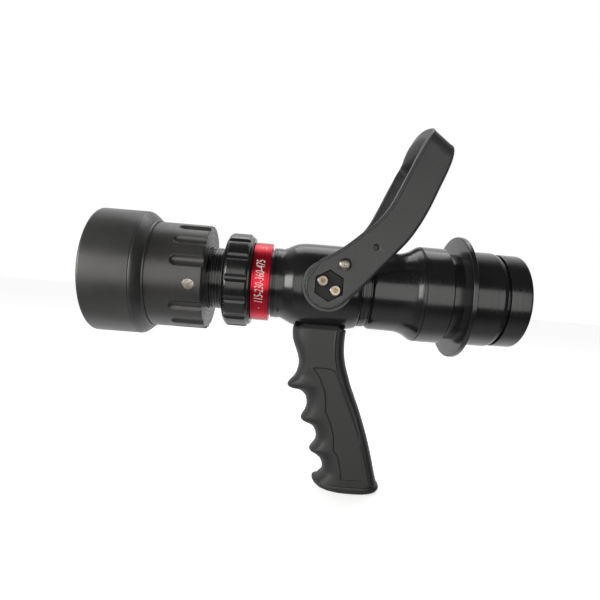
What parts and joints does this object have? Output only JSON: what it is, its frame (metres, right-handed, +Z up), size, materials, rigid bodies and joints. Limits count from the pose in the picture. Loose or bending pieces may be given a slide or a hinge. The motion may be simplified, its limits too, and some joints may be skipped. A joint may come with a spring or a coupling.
{
  "type": "fire hose nozzle",
  "caption": "Pistol-grip hand-line nozzle with bail-handle ball valve, turning flow ring and pattern sleeve, rubber bumper and a snap-type spigot inlet with push ring.",
  "frame": {"origin": "centre of the inlet spigot's end face, on the waterway axis", "axes": "+X along the waterway and out of the inlet towards the hose, +Z up away from the pistol grip, -Y towards the near lever arm"},
  "size_m": [0.342, 0.1004, 0.2983],
  "materials": {
    "black_anodised": "satin",
    "red_anodised": "satin",
    "bumper_rubber": "satin",
    "seal_rubber": "matte",
    "grip_polymer": "matte",
    "handle_polymer": "matte",
    "stainless": "satin",
    "nickel_screw": "bright",
    "ptfe": "satin",
    "hard_anodised_trim": "satin"
  },
  "bodies": {
    "valve_body": {"valve_body": "black_anodised", "grip_saddle": "black_anodised", "nozzle_barrel": "black_anodised", "flow_ring_seals": "seal_rubber", "flow_ring_clip": "stainless", "index_ring": "red_anodised", "index_ring_screws": "stainless", "flow_detent_ball": "stainless", "flow_detent_spring": "stainless", "ball_seat_front": "ptfe", "ball_seat_rear": "ptfe", "seat_o_rings": "seal_rubber", "tail_adapter": "black_anodised", "swivel_seal": "seal_rubber", "stem_bushes": "ptfe", "pistol_grip": "grip_polymer", "grip_base_cap": "grip_polymer", "grip_bolt": "stainless", "grip_washer": "stainless"},
    "handle": {"bail_handle": "handle_polymer", "hex_hubs": "hard_anodised_trim", "hub_screws": "nickel_screw", "stop_screws": "nickel_screw", "stem_near": "stainless", "stem_far": "stainless", "stem_o_rings": "seal_rubber", "shut_off_ball": "stainless"},
    "flow_control": {"flow_ring": "hard_anodised_trim"},
    "baffle": {"baffle_head": "black_anodised", "baffle_stem": "stainless", "stem_nut": "stainless", "stem_spider": "black_anodised", "drive_pins": "stainless"},
    "sleeve_carrier": {"sleeve_o_ring": "seal_rubber"},
    "sleeve": {"pattern_sleeve": "black_anodised", "mouth_tube": "black_anodised", "cam_screws": "nickel_screw", "front_bumper": "bumper_rubber", "fog_teeth_ring": "hard_anodised_trim"},
    "inlet": {"inlet_body": "black_anodised", "swivel_plug": "stainless", "swivel_balls": "stainless", "inlet_gasket": "seal_rubber", "spigot_tube": "black_anodised"},
    "push_off": {"push_flange": "black_anodised", "push_ring": "black_anodised"}
  },
  "joints": [
    {"name": "bail_pivot", "type": "hinge", "parent": "valve_body", "child": "handle", "pos_m": [-0.158, 0, 0], "axis": [0, -1, 0], "range_deg": [0, 90]},
    {"name": "flow_turn", "type": "hinge", "parent": "valve_body", "child": "flow_control", "pos_m": [-0.228, 0, 0], "axis": [1, 0, 0], "range_deg": [0, 90]},
    {"name": "baffle_slide", "type": "slide", "parent": "valve_body", "child": "baffle", "axis": [1, 0, 0], "range_m": [-0.003, 0]},
    {"name": "sleeve_slide", "type": "slide", "parent": "valve_body", "child": "sleeve_carrier", "axis": [1, 0, 0], "range_m": [0, 0.01]},
    {"name": "sleeve_turn", "type": "hinge", "parent": "sleeve_carrier", "child": "sleeve", "pos_m": [-0.262, 0, 0], "axis": [1, 0, 0], "range_deg": [0, 96]},
    {"name": "inlet_swivel", "type": "hinge", "parent": "valve_body", "child": "inlet", "pos_m": [-0.113, 0, 0], "axis": [1, 0, 0], "continuous": true},
    {"name": "push_ring_slide", "type": "slide", "parent": "inlet", "child": "push_off", "axis": [1, 0, 0], "range_m": [-0.009, 0.0025]}
  ],
  "couplings": [
    {"joint": "baffle_slide", "follows": "flow_turn", "m_per_rad": -0.0019099},
    {"joint": "sleeve_slide", "follows": "sleeve_turn", "m_per_rad": 0.0059683}
  ]
}
